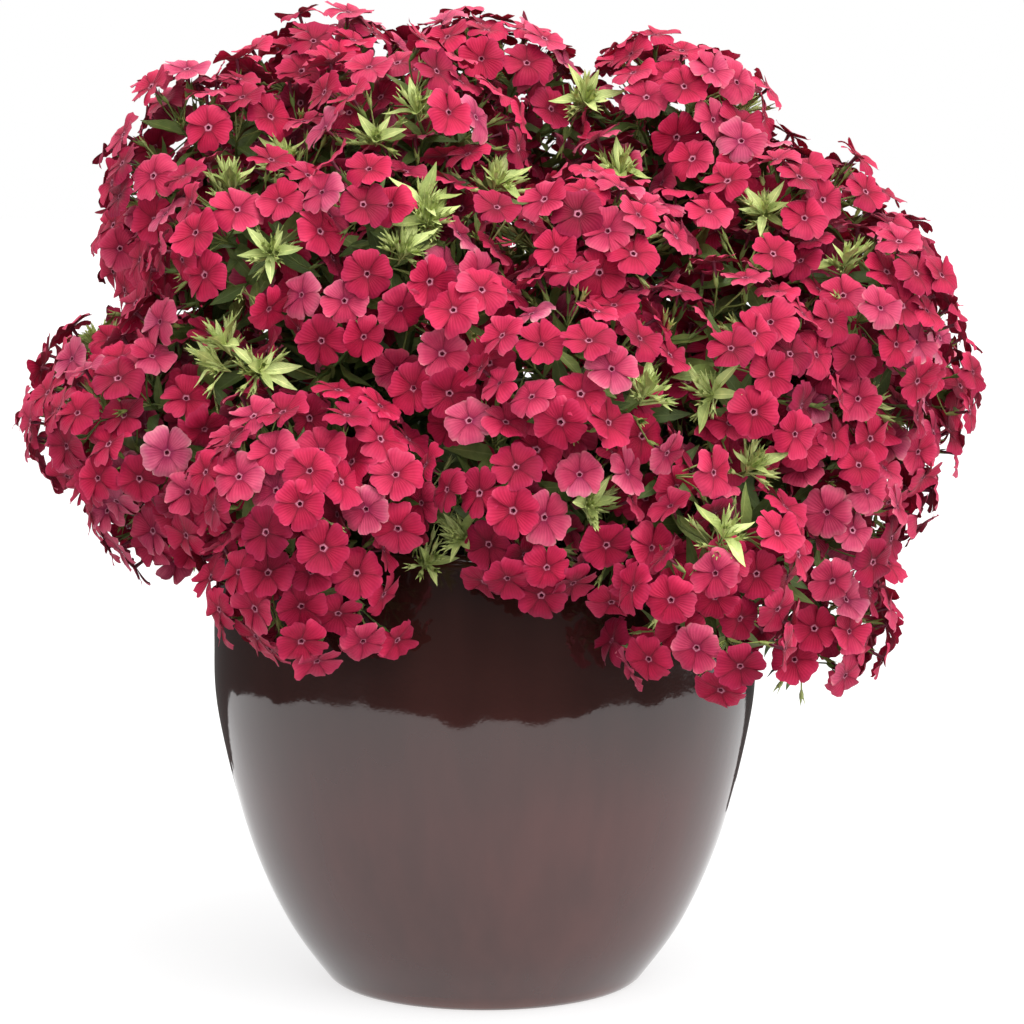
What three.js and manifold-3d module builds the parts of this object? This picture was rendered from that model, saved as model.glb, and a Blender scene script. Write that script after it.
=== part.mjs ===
// A garden phlox in its pot: a glazed pot filled with soil, branching leafy stems standing in
// the soil, and flower heads that close into one lobed mound over them.
// Millimetres, +Z up, -Y to the front, origin at the centre of the pot's flat base.
import * as THREE from "three";
import { mergeVertices } from "three/addons/utils/BufferGeometryUtils.js";
import Module from "manifold-3d";

const wasm = await Module();
wasm.setup();

// ---------------------------------------------------------------- driving dimensions

const GAP = 0.3; // clearance between pieces that touch
const WELD = 1e-3; // vertices closer than this are one
const SEED = 35; // of all random placement
const GOLDEN_ANGLE = Math.PI * (3 - Math.sqrt(5));
const UP = new THREE.Vector3(0, 0, 1);

const POT = {
  height: 255,
  wall: 10,
  floor: 12,
  sides: 36,
  rings: 8, // steps of the outer wall from base to lip
  innerRings: 4,
  lipSteps: 4,
  // radius and height of the outer wall, from the foot to under the lip
  outline: [[86.5, 0], [111, 35], [132, 84], [148, 150], [150, 190], [148.5, 220], [143.5, 247]],
};
const POT_RADIUS = Math.max(...POT.outline.map(([r]) => r));
const POT_CLEARANCE = 4; // from the wall to the petals that hang beside it
const DRAIN = { radius: 7, ring: 48, count: 3, sides: 8, past: 1 };
const SOIL = { top: 229, crown: 4 };

const STEM = {
  count: 8,
  ring: 44, // the stems stand in the soil on a circle of this radius
  radius: 3.6,
  sides: 5,
  depth: 55, // how far each reaches into the soil
  straight: 12, // how far each stands straight out of its hole
  lap: 2, // how far the foot and the trunk run into each other
  bendHeight: 40, // height over the soil to which the trunk rises before it leans out
  forkRadius: 66,
  forkHeight: 292,
  steps: 3,
};
const BRANCH = {
  radius: 2.2,
  sides: 3,
  steps: 3,
  lowestFork: 0.5, // shares of the trunk's length between which the branches leave it
  highestFork: 0.97,
  // tried in turn for a clear way: how far a branch runs straight into its head and straight off
  // its trunk, as shares of its span, and how far its fork moves along the trunk
  approaches: [0.4, 0.25, 0.6, 0.1],
  bends: [0.35, 0.2, 0.5, 0.65, 0.05],
  shifts: [0, -0.12, 0.12, -0.24, 0.24, -0.4],
  leafShare: 0.78, // where the pair of leaves sits on a branch
};
const LEAF = {
  length: 36,
  width: 9,
  widest: 0.42, // share of the length at which the blade is widest
  keel: 1.4,
  droop: 4,
  lean: 1.2, // how far the leaves of a pair lean off their branch
  seat: 0.4, // share of the branch's radius at which a blade is rooted
  tries: 8, // directions tried for a leaf before it is left out
  swing: 0.3, // angle between those directions
};

const HEAD = {
  count: 41,
  florets: 6,
  dome: 66, // from the receptacle to the faces of the florets
  lowBelow: 285, // heads whose receptacle is lower hang beside the pot's wall
  lowRing: 170, // and keep their receptacles at least this far from the pot's axis
  hang: 1.1, // how steeply the stalks of those heads come down to them
  widest: 1.15, // most that a floret leans away from the middle of its head, in radians
  arc: 49, // from the middle floret of a head to those round it, over the dome
  reach: 60, // half the space that one head takes on the mound
  upturn: 0.3, // how far heads turn up from the mound's surface towards the light
  receptacle: { radius: 6, height: 8, sides: 4 },
  apart: 34, // least distance between two receptacles
  // how unevenly the florets sit: radians for the middle one, shares for the others
  uneven: { middle: 0.1, lean: 0.12, step: 0.2, reach: 0.08 },
};
const FLORET = {
  radius: 32,
  petals: 5,
  halfEnd: 0.36, // half the angle that the blunt end of a petal takes, in radians
  notch: 0.7, // reach of the notch between two petals against a petal's own reach
  throat: 4.5, // depth of the throat below the petal ends
  cup: 3,
  neck: 8, // depth at which the limb narrows to its tube
  tube: 1.9,
  sizes: [1, 0.8, 0.6], // shares of its full size that a floret may take to stay clear
  offPot: 22, // from the pot's wall to a floret's middle
  shortest: 0.3, // least share of its reach that a petal keeps beside the pot
  near: 72, // florets closer than this stop each other's petals
  spacing: 52, // florets closer than this to each other move apart over their domes
  push: 0.25, // share of what is missing that one round moves them
  rounds: 25,
};
const SHOOT = {
  count: 14,
  every: 3, // every third free tip is a shoot until there are enough
  reach: 24,
  sunk: 40, // depth of a shoot's end under the mound's surface
  leaves: 5,
  first: 1, // depth of the topmost leaf under the shoot's end
  pitch: 2,
  lean: 0.3, // how far the topmost leaf leans out
  leanStep: 0.2, // how much more each leaf below it leans
};

const MOUND = {
  middle: new THREE.Vector3(12, 0, 325),
  hem: 246, // lowest height of a head's middle, apart from those on the hanging lobes
  lowestSine: -0.5, // sine of the lowest elevation at which the free tips start
  uneven: 0.1, // radians by which the free tips leave their spiral
  push: 0.25, // share of what is missing that one round moves crowded tips
  rounds: 60,
};
// Rounded masses that the flowers close into: middle and half axes.
const LOBES = {
  body: { at: [12, 0, 330], half: [225, 220, 155] },
  crownLeft: { at: [-75, -15, 420], half: [140, 165, 118] },
  crownMiddle: { at: [0, -10, 430], half: [70, 140, 108] },
  crownRight: { at: [100, -10, 425], half: [75, 140, 98] },
  shoulderRight: { at: [150, -5, 385], half: [112, 150, 95] },
  left: { at: [-110, -20, 332], half: [141, 150, 72] },
  right: { at: [125, 0, 348], half: [142, 160, 85] },
  rightLow: { at: [145, -10, 292], half: [118, 120, 60] },
  skirtLeft: { at: [-90, -40, 275], half: [128, 130, 60] },
  skirtRight: { at: [165, -20, 235], half: [72, 100, 68] },
  frontLeft: { at: [-80, -120, 280], half: [100, 100, 88] },
  frontMiddle: { at: [20, -110, 320], half: [110, 115, 92] },
  frontRight: { at: [108, -115, 280], half: [80, 100, 88] },
  back: { at: [0, 110, 320], half: [200, 135, 130] },
};
// Directions, seen from the mound's middle, that always carry a head: azimuth and elevation.
const FIXED_TIPS = {
  left: [182, -2],
  right: [0, 8],
  rightLow: [356, -14],
  crownLeft: [175, 64],
  crownMiddle: [200, 86],
  crownRight: [355, 66],
  frontLeft: [245, -25],
  frontMiddle: [272, -13],
  frontRight: [302, -24],
  skirtRight: [345, -29],
};

// ---------------------------------------------------------------- solids

// A manifold solid from a closed geometry.
function solidOf(geometry) {
  const bare = geometry.clone();
  bare.deleteAttribute("normal");
  bare.deleteAttribute("uv");
  const merged = mergeVertices(bare, WELD);
  const corners = merged.index.array;
  const faces = [];
  for (let i = 0; i < corners.length; i += 3) {
    const [a, b, c] = corners.slice(i, i + 3);
    if (a !== b && b !== c && c !== a) faces.push(a, b, c);
  }
  return new wasm.Manifold(
    new wasm.Mesh({
      numProp: 3,
      vertProperties: new Float32Array(merged.attributes.position.array),
      triVerts: new Uint32Array(faces),
    }),
  );
}

function isClear(solid, obstacles) {
  return obstacles.every((other) => solid.intersect(other).isEmpty());
}

// The largest of a solid's bodies, so that no loose scrap stays.
function mainBody(solid) {
  const bodies = solid.decompose();
  return bodies.reduce((best, body) => (body.volume() > best.volume() ? body : best));
}

function meshOf(name, solid, material) {
  const { vertProperties, triVerts } = solid.getMesh();
  const geometry = new THREE.BufferGeometry();
  geometry.setAttribute("position", new THREE.BufferAttribute(vertProperties, 3));
  geometry.setIndex(new THREE.BufferAttribute(triVerts, 1));
  const mesh = new THREE.Mesh(geometry, material);
  mesh.name = name;
  return mesh;
}

// A closed surface through rings of points, each counterclockwise seen from the first ring's
// side. A ring of one point is a tip.
function skinned(rings) {
  const starts = [];
  const positions = [];
  for (const ring of rings) {
    starts.push(positions.length / 3);
    for (const point of ring) positions.push(point.x, point.y, point.z);
  }
  const faces = [];
  for (let k = 0; k + 1 < rings.length; k++) {
    const [na, nb] = [rings[k].length, rings[k + 1].length];
    const a = (i) => starts[k] + (i % na);
    const b = (j) => starts[k + 1] + (j % nb);
    let [i, j] = [0, 0];
    while ((na > 1 && i < na) || (nb > 1 && j < nb)) {
      const alongB = na === 1 || (nb > 1 && (j + 1) / nb <= (i + 1) / na);
      if (alongB) faces.push(a(i), b(j), b(++j));
      else faces.push(a(i), b(j), a(++i));
    }
  }
  const geometry = new THREE.BufferGeometry();
  geometry.setAttribute("position", new THREE.Float32BufferAttribute(positions, 3));
  geometry.setIndex(faces);
  return solidOf(geometry);
}

function turned(profile, sides) {
  const points = profile.map(([r, z]) => new THREE.Vector2(r, z));
  return solidOf(new THREE.LatheGeometry(points, sides).rotateX(Math.PI / 2));
}

function polygon(radius, sides) {
  const corners = [];
  for (let k = 0; k < sides; k++) {
    const angle = (2 * Math.PI * k) / sides;
    corners.push(new THREE.Vector2(radius * Math.cos(angle), radius * Math.sin(angle)));
  }
  return new THREE.Shape(corners);
}

function tube(path, radius, sides, steps) {
  const options = { steps, bevelEnabled: false, extrudePath: path };
  return solidOf(new THREE.ExtrudeGeometry(polygon(radius, sides), options));
}

// ---------------------------------------------------------------- small helpers

// Seeded random numbers from 0 to 1.
function randomSource(seed) {
  let state = seed;
  return () => {
    state = (state + 0x6d2b79f5) | 0;
    let t = Math.imul(state ^ (state >>> 15), 1 | state);
    t = (t + Math.imul(t ^ (t >>> 7), 61 | t)) ^ t;
    return ((t ^ (t >>> 14)) >>> 0) / 2 ** 32;
  };
}

// Two unit vectors that span the plane across a direction, turned by an angle.
function across(direction, turn = 0) {
  const nearlyUpright = Math.abs(direction.z) > 0.9;
  const helper = nearlyUpright ? new THREE.Vector3(1, 0, 0) : UP;
  const u = helper.clone().cross(direction).normalize();
  u.applyAxisAngle(direction, turn);
  const v = direction.clone().cross(u);
  return [u, v];
}

function directionOf(azimuth, elevation) {
  return new THREE.Vector3(
    Math.cos(elevation) * Math.cos(azimuth),
    Math.cos(elevation) * Math.sin(azimuth),
    Math.sin(elevation),
  );
}

// ---------------------------------------------------------------- pot and soil

const outerWall = new THREE.SplineCurve(POT.outline.map(([r, z]) => new THREE.Vector2(r, z)))
  .getSpacedPoints(POT.rings)
  .map((p) => [p.x, p.y]);

function outerRadius(height) {
  const upper = Math.max(1, outerWall.findIndex(([, z]) => z >= height));
  const [[r0, z0], [r1, z1]] = [outerWall[upper - 1], outerWall[upper]];
  return r0 + ((r1 - r0) * (height - z0)) / (z1 - z0);
}

// The inner wall from the floor up to a height, drawn in by an inset.
function innerWall(top, inset) {
  const points = [];
  for (let k = 0; k <= POT.innerRings; k++) {
    const z = POT.floor + ((top - POT.floor) * k) / POT.innerRings;
    points.push([outerRadius(z) - POT.wall - inset, z]);
  }
  return points;
}

function lip() {
  const [rimRadius, rimHeight] = outerWall[outerWall.length - 1];
  const half = POT.wall / 2;
  const rise = POT.height - rimHeight;
  const points = [];
  for (let k = 1; k < POT.lipSteps; k++) {
    const angle = (Math.PI * k) / POT.lipSteps;
    points.push([rimRadius - half + half * Math.cos(angle), rimHeight + rise * Math.sin(angle)]);
  }
  return points;
}

function drainHole(k) {
  const angle = (2 * Math.PI * k) / DRAIN.count;
  const [x, y] = [DRAIN.ring * Math.cos(angle), DRAIN.ring * Math.sin(angle)];
  const below = new THREE.Vector3(x, y, -DRAIN.past);
  const above = new THREE.Vector3(x, y, POT.floor + DRAIN.past);
  return tube(new THREE.LineCurve3(below, above), DRAIN.radius, DRAIN.sides, 1);
}

function makePot() {
  const rimHeight = outerWall[outerWall.length - 1][1];
  const inner = innerWall(SOIL.top, 0);
  inner.push([outerRadius(rimHeight) - POT.wall, rimHeight]);
  const profile = [[0, 0], ...outerWall, ...lip(), ...inner.reverse(), [0, POT.floor]];
  let pot = turned(profile, POT.sides);
  for (let k = 0; k < DRAIN.count; k++) pot = pot.subtract(drainHole(k));
  return pot;
}

function makeSoil(stems) {
  const wall = innerWall(SOIL.top, GAP);
  wall[0][1] += GAP;
  const profile = [[0, POT.floor + GAP], ...wall, [0, SOIL.top + SOIL.crown]];
  let soil = turned(profile, POT.sides);
  for (const stem of stems) soil = soil.subtract(stem.hole);
  return soil;
}

// ---------------------------------------------------------------- the mound

// Where a ray from the mound's middle leaves its lobes, with the direction out of the surface.
function moundSurface(direction) {
  let best = { reach: 0 };
  for (const { at, half } of Object.values(LOBES)) {
    const middle = new THREE.Vector3(...at);
    const scale = new THREE.Vector3(...half);
    const start = MOUND.middle.clone().sub(middle).divide(scale);
    const ray = direction.clone().divide(scale);
    const a = ray.dot(ray);
    const b = start.dot(ray);
    const c = start.dot(start) - 1;
    const root = b * b - a * c;
    if (root < 0) continue;
    const reach = (Math.sqrt(root) - b) / a;
    if (reach > best.reach) best = { reach, middle, scale };
  }
  const point = direction.clone().multiplyScalar(best.reach).add(MOUND.middle);
  const normal = point.clone().sub(best.middle).divide(best.scale).divide(best.scale).normalize();
  return { point, normal };
}

// Tips spread over the mound: flower heads and, in the hollows between them, leafy shoots.
function spreadTips(random) {
  const tips = Object.values(FIXED_TIPS).map(([azimuth, elevation]) => ({
    direction: directionOf(THREE.MathUtils.degToRad(azimuth), THREE.MathUtils.degToRad(elevation)),
    fixed: true,
    reach: HEAD.reach,
  }));
  const free = HEAD.count + SHOOT.count - tips.length;
  for (let k = 0; k < free; k++) {
    const sine = 1 - ((1 - MOUND.lowestSine) * (k + 0.5)) / free;
    const isShoot = k % SHOOT.every === 1 && tips.filter((tip) => tip.shoot).length < SHOOT.count;
    tips.push({
      direction: directionOf(k * GOLDEN_ANGLE + MOUND.uneven * random(), Math.asin(sine)),
      shoot: isShoot,
      reach: isShoot ? SHOOT.reach : HEAD.reach,
    });
  }
  for (const tip of tips) Object.assign(tip, moundSurface(tip.direction));
  for (let round = 0; round < MOUND.rounds; round++) {
    for (const tip of tips) if (!tip.fixed) pushAway(tip, tips);
  }
  return tips;
}

function pushAway(tip, tips) {
  const push = new THREE.Vector3();
  for (const other of tips) {
    if (other === tip) continue;
    const apart = tip.point.clone().sub(other.point);
    const wanted = tip.reach + other.reach;
    const length = apart.length();
    if (length < wanted) push.addScaledVector(apart, (MOUND.push * (wanted - length)) / length);
  }
  const moved = tip.point.clone().add(push);
  moved.z = Math.max(moved.z, MOUND.hem);
  tip.direction = moved.sub(MOUND.middle).normalize();
  Object.assign(tip, moundSurface(tip.direction));
}

// ---------------------------------------------------------------- flower heads

// Where a head's receptacle lies under the mound's surface.
function placeHub({ point, normal }) {
  const up = normal.clone().addScaledVector(UP, HEAD.upturn).normalize();
  return { point, hub: point.clone().addScaledVector(up, -HEAD.dome) };
}

// Receptacles that crowd each other move apart, and low ones stay outside the pot's wall.
function settleHubs(heads) {
  for (const head of heads) {
    for (const other of heads) {
      if (other === head) continue;
      const apart = head.hub.clone().sub(other.hub);
      const missing = HEAD.apart - apart.length();
      if (missing > 0) head.hub.addScaledVector(apart.normalize(), missing);
    }
    head.isLow = head.hub.z < HEAD.lowBelow;
    const outward = HEAD.lowRing / Math.hypot(head.hub.x, head.hub.y);
    if (head.isLow && outward > 1) head.hub.multiply(new THREE.Vector3(outward, outward, 1));
  }
}

// The florets of one head: faces on a dome about its receptacle, one in the middle.
function placeFlorets({ point, hub, isLow }, random) {
  const dome = point.distanceTo(hub);
  const axis = point.clone().sub(hub).normalize();
  const stalk = axis.clone().addScaledVector(UP, isLow ? -HEAD.hang : 0).normalize();
  const [u, v] = across(axis, 2 * Math.PI * random());
  const { uneven } = HEAD;
  const florets = [];
  for (let k = 0; k < HEAD.florets; k++) {
    const stretch = 1 + uneven.lean * (random() - 0.5);
    const lean = Math.min(HEAD.widest, (HEAD.arc / dome) * stretch);
    const tilt = k === 0 ? uneven.middle * random() : lean;
    const angle = (2 * Math.PI * (k + uneven.step * random())) / (HEAD.florets - 1);
    const out = axis.clone().multiplyScalar(Math.cos(tilt));
    out.addScaledVector(u, Math.sin(tilt) * Math.cos(angle));
    out.addScaledVector(v, Math.sin(tilt) * Math.sin(angle));
    const reach = dome * (1 - uneven.reach * random());
    const centre = hub.clone().addScaledVector(out, reach);
    florets.push({ hub, reach, out, centre, turn: 2 * Math.PI * random() });
  }
  return { hub, stalk, florets };
}

// The push that keeps a floret's middle off the pot's wall.
function awayFromPot(centre) {
  const radial = Math.hypot(centre.x, centre.y);
  const missing = POT_RADIUS + FLORET.offPot - radial;
  if (centre.z > POT.height + FLORET.offPot || missing < 0) return new THREE.Vector3();
  return new THREE.Vector3(centre.x, centre.y, 0).multiplyScalar(missing / radial);
}

// Florets that crowd each other move apart, each over the dome of its own head.
function settleFlorets(florets) {
  for (let round = 0; round < FLORET.rounds; round++) {
    for (const floret of florets) {
      const push = new THREE.Vector3();
      for (const other of florets) {
        if (other === floret) continue;
        const apart = floret.centre.clone().sub(other.centre);
        const missing = FLORET.spacing - apart.length();
        if (missing > 0) push.addScaledVector(apart.normalize(), FLORET.push * missing);
      }
      push.add(awayFromPot(floret.centre));
      floret.out = floret.centre.clone().add(push).sub(floret.hub).normalize();
      floret.centre = floret.hub.clone().addScaledVector(floret.out, floret.reach);
    }
  }
}

// One floret: five broad petals round a throat, on a tube that runs down to the receptacle.
// Each petal end stops short of the middle plane to every neighbouring floret.
function floretSolid(floret, neighbours, size) {
  const { centre, out, turn, hub } = floret;
  const [u, v] = across(out, turn);
  const at = (radius, angle, lift) =>
    centre
      .clone()
      .addScaledVector(u, radius * Math.cos(angle))
      .addScaledVector(v, radius * Math.sin(angle))
      .addScaledVector(out, lift);
  const rim = [];
  for (let petal = 0; petal < FLORET.petals; petal++) {
    const middle = (2 * Math.PI * petal) / FLORET.petals;
    const edge = Math.PI / FLORET.petals;
    rim.push(at(size * FLORET.radius, middle - FLORET.halfEnd, FLORET.cup));
    rim.push(at(size * FLORET.radius, middle + FLORET.halfEnd, FLORET.cup));
    rim.push(at(size * FLORET.radius * FLORET.notch, middle + edge, 0));
  }
  const neck = [0, 1, 2].map((k) => at(FLORET.tube, (2 * Math.PI * k) / 3, -FLORET.neck));
  const clipped = rim.map((point) => clippedReach(centre, point, neighbours));
  return skinned([[at(0, 0, -FLORET.throat)], clipped, neck, [hub]]);
}

function clippedReach(centre, point, neighbours) {
  const arm = point.clone().sub(centre);
  let share = potShare(centre, point);
  for (const other of neighbours) {
    const toOther = other.centre.clone().sub(centre);
    const distance = toOther.length();
    const along = arm.dot(toOther) / distance;
    if (along > 0) share = Math.min(share, (distance / 2 - GAP / 2) / along);
  }
  return centre.clone().addScaledVector(arm, share);
}

// How much of the way from a floret's middle to a point stays outside the pot's wall.
function potShare(centre, point) {
  const clear = POT_RADIUS + POT_CLEARANCE;
  if (Math.min(centre.z, point.z) > POT.height + POT_CLEARANCE) return 1;
  const [from, to] = [Math.hypot(centre.x, centre.y), Math.hypot(point.x, point.y)];
  return to < clear && to < from ? Math.max(FLORET.shortest, (from - clear) / (from - to)) : 1;
}

function makeHead(head, allFlorets, obstacles) {
  const { radius, height, sides } = HEAD.receptacle;
  const half = head.stalk.clone().multiplyScalar(height / 2);
  const axis = new THREE.LineCurve3(head.hub.clone().sub(half), head.hub.clone().add(half));
  const pieces = [tube(axis, radius, sides, 1)];
  for (const floret of head.florets) {
    const neighbours = allFlorets.filter(
      (other) => other !== floret && other.centre.distanceTo(floret.centre) < FLORET.near,
    );
    const sizes = FLORET.sizes.map((size) => floretSolid(floret, neighbours, size));
    pieces.push(...sizes.filter((solid) => isClear(solid, obstacles)).slice(0, 1));
  }
  return mainBody(wasm.Manifold.union(pieces));
}

// ---------------------------------------------------------------- leafy stems

// A narrow blade, pointed at both ends, with a keel below and its tip bent down.
function leafSolid(root, along, up) {
  const side = along.clone().cross(up).normalize();
  const over = side.clone().cross(along).normalize();
  const midrib = (share) =>
    root
      .clone()
      .addScaledVector(along, LEAF.length * share)
      .addScaledVector(over, -LEAF.droop * share * share);
  const widest = midrib(LEAF.widest);
  const section = [
    widest.clone().addScaledVector(side, LEAF.width / 2),
    widest.clone().addScaledVector(side, -LEAF.width / 2),
    widest.clone().addScaledVector(over, -LEAF.keel),
  ];
  return skinned([[midrib(0)], section, [midrib(1)]]);
}

// The first leaf of a fan of directions round a branch that stays clear of other pieces.
function clearLeaf(at, tangent, angle, lean, obstacles) {
  for (let k = 0; k < LEAF.tries; k++) {
    const swing = (k % 2 ? 1 : -1) * Math.ceil(k / 2) * LEAF.swing;
    const [u] = across(tangent, angle + swing);
    const along = tangent.clone().addScaledVector(u, lean).normalize();
    const root = at.clone().addScaledVector(u, LEAF.seat * BRANCH.radius);
    const leaf = leafSolid(root, along, tangent);
    if (isClear(leaf, obstacles)) return [leaf];
  }
  return [];
}

// Opposite leaves on a branch, one pair at a share of its length.
function leafPair(path, share, random, obstacles) {
  const at = path.getPointAt(share);
  const tangent = path.getTangentAt(share);
  const turn = 2 * Math.PI * random();
  return [0, Math.PI].flatMap((half) => clearLeaf(at, tangent, turn + half, LEAF.lean, obstacles));
}

// The leaves at the end of a shoot, in a spiral that closes upwards.
function shootLeaves(end, normal, random, obstacles) {
  const turn = 2 * Math.PI * random();
  const leaves = [];
  for (let k = 0; k < SHOOT.leaves; k++) {
    const at = end.clone().addScaledVector(normal, -SHOOT.first - SHOOT.pitch * k);
    const lean = SHOOT.lean + SHOOT.leanStep * k;
    leaves.push(...clearLeaf(at, normal, turn + k * GOLDEN_ANGLE, lean, obstacles));
  }
  return leaves;
}

function placeStems() {
  const stems = [];
  for (let k = 0; k < STEM.count; k++) {
    const azimuth = (2 * Math.PI * k) / STEM.count;
    const out = new THREE.Vector3(Math.cos(azimuth), Math.sin(azimuth), 0);
    const foot = out.clone().multiplyScalar(STEM.ring);
    const at = (radius, z) => out.clone().multiplyScalar(radius).setZ(z);
    const bottom = foot.clone().setZ(SOIL.top - STEM.depth);
    const top = foot.clone().setZ(SOIL.top + STEM.straight);
    const under = bottom.clone().setZ(bottom.z - GAP);
    stems.push({
      rooted: new THREE.LineCurve3(bottom, top),
      trunk: new THREE.QuadraticBezierCurve3(
        top.clone().setZ(top.z - STEM.lap),
        at(STEM.ring, SOIL.top + STEM.bendHeight),
        at(STEM.forkRadius, STEM.forkHeight),
      ),
      hole: tube(new THREE.LineCurve3(under, top), STEM.radius + GAP, STEM.sides, 1),
      ends: [],
    });
  }
  return stems;
}

// The stem whose sector holds a point.
function stemFor(point, stems) {
  const azimuth = Math.atan2(point.y, point.x);
  const step = (2 * Math.PI) / stems.length;
  const index = Math.round((azimuth + 2 * Math.PI) / step) % stems.length;
  return stems[index];
}

function branchPath(stem, { end, normal }, share, bend, approach) {
  const start = stem.trunk.getPoint(share);
  const rising = stem.trunk.getTangent(share);
  const distance = start.distanceTo(end);
  return new THREE.CubicBezierCurve3(
    start,
    start.clone().addScaledVector(rising, bend * distance),
    end.clone().addScaledVector(normal, -approach * distance),
    end,
  );
}

// The branch to one end, bent and forked so that it stays clear of other pieces.
function clearBranch(stem, tip, share, obstacles) {
  for (const approach of BRANCH.approaches) {
    for (const bend of BRANCH.bends) {
      for (const shift of BRANCH.shifts) {
        const fork = Math.min(share + shift, BRANCH.highestFork);
        const path = branchPath(stem, tip, fork, bend, approach);
        const solid = tube(path, BRANCH.radius, BRANCH.sides, BRANCH.steps);
        if (isClear(solid, obstacles)) return { path, solid };
      }
    }
  }
  if (tip.shoot) return null;
  throw new Error("no clear way for the branch to " + tip.end.toArray().map(Math.round));
}

function makeStem(stem, random, obstacles) {
  const pieces = [
    tube(stem.rooted, STEM.radius, STEM.sides, 1),
    tube(stem.trunk, STEM.radius, STEM.sides, STEM.steps),
  ];
  const lowestFirst = stem.ends.sort((a, b) => a.end.z - b.end.z);
  lowestFirst.forEach((tip, k) => {
    const rise = BRANCH.highestFork - BRANCH.lowestFork;
    const share = BRANCH.lowestFork + (rise * (k + 1)) / lowestFirst.length;
    const branch = clearBranch(stem, tip, share, obstacles);
    if (!branch) return;
    const { path, solid } = branch;
    pieces.push(solid);
    if (tip.shoot) pieces.push(...shootLeaves(tip.end, tip.normal, random, obstacles));
    else pieces.push(...leafPair(path, BRANCH.leafShare, random, obstacles));
  });
  return mainBody(wasm.Manifold.union(pieces));
}

// ---------------------------------------------------------------- the whole plant

const glaze = new THREE.MeshStandardMaterial({ color: "#3a1f1b", roughness: 0.12, metalness: 0 });
const earth = new THREE.MeshStandardMaterial({ color: "#3b2c22", roughness: 0.95, metalness: 0 });
const green = new THREE.MeshStandardMaterial({ color: "#7fa04a", roughness: 0.6, metalness: 0 });
const crimson = new THREE.MeshStandardMaterial({ color: "#c01a44", roughness: 0.7, metalness: 0 });

const random = randomSource(SEED);
const tips = spreadTips(random);
const hubs = tips.filter((tip) => !tip.shoot).map(placeHub);
settleHubs(hubs);
const heads = hubs.map((hub) => placeFlorets(hub, random));
const florets = heads.flatMap((head) => head.florets);
settleFlorets(florets);

const stems = placeStems();
for (const { hub, stalk } of heads) {
  const drop = HEAD.receptacle.height / 2 + GAP;
  const end = hub.clone().addScaledVector(stalk, -drop);
  stemFor(end, stems).ends.push({ end, normal: stalk, shoot: false });
}
for (const { point, normal } of tips.filter((tip) => tip.shoot)) {
  const end = point.clone().addScaledVector(normal, -SHOOT.sunk);
  stemFor(end, stems).ends.push({ end, normal, shoot: true });
}

const number = (k) => String(k + 1).padStart(2, "0");
const group = new THREE.Group();
const obstacles = [];
function add(name, solid, material) {
  obstacles.push(solid);
  group.add(meshOf(name, solid, material));
}

add("pot", makePot(), glaze);
add("soil", makeSoil(stems), earth);
heads.forEach((head, k) => {
  add("flower_head_" + number(k), makeHead(head, florets, [...obstacles]), crimson);
});
stems.forEach((stem, k) => {
  add("leafy_stem_" + number(k), makeStem(stem, random, [...obstacles]), green);
});

export default group;
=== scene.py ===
"""A garden phlox in its glazed pot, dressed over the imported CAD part.

The CAD flower heads carry florets larger than life. Each of those florets marks one bunch here:
a small dome of florets at true size, on its own twig. Stems, leaves and the pot are rebuilt
finer over the CAD nodes that they replace. Lengths are in millimetres until a mesh is made.
"""

import math

import bpy
import numpy as np
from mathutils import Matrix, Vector


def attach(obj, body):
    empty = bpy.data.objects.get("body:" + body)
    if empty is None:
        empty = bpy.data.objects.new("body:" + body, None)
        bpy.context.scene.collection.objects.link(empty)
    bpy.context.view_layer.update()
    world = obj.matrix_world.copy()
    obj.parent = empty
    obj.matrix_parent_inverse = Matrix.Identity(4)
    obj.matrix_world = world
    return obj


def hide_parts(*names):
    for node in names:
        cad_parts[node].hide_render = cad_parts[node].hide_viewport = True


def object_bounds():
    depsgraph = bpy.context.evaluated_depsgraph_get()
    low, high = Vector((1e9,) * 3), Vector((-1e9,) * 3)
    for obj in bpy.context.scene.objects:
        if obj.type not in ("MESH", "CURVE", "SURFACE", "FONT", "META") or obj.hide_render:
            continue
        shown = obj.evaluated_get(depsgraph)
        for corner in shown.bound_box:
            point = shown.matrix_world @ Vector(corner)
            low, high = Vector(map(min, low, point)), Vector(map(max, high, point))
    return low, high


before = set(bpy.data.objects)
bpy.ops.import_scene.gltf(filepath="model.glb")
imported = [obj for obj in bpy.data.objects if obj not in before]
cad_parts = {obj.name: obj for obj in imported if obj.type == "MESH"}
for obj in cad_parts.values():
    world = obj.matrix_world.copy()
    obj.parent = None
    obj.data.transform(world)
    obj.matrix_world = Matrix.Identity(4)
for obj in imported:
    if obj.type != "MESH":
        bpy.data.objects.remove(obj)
cad_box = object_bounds()

# -------- driving dimensions

MM = 0.001  # metres in a millimetre
SEED = 7
UP = np.array([0.0, 0.0, 1.0])
RIGHT = np.array([1.0, 0.0, 0.0])  # seen from the front
NEARLY_UPRIGHT = 0.9  # a direction with more than this of UP in it
AXIS_RADIUS = 0.01  # of the ring that closes a turned surface at its axis
GOLDEN_ANGLE = math.pi * (3 - math.sqrt(5))
MOUND_MIDDLE = np.array([12.0, 0.0, 325.0])

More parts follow.
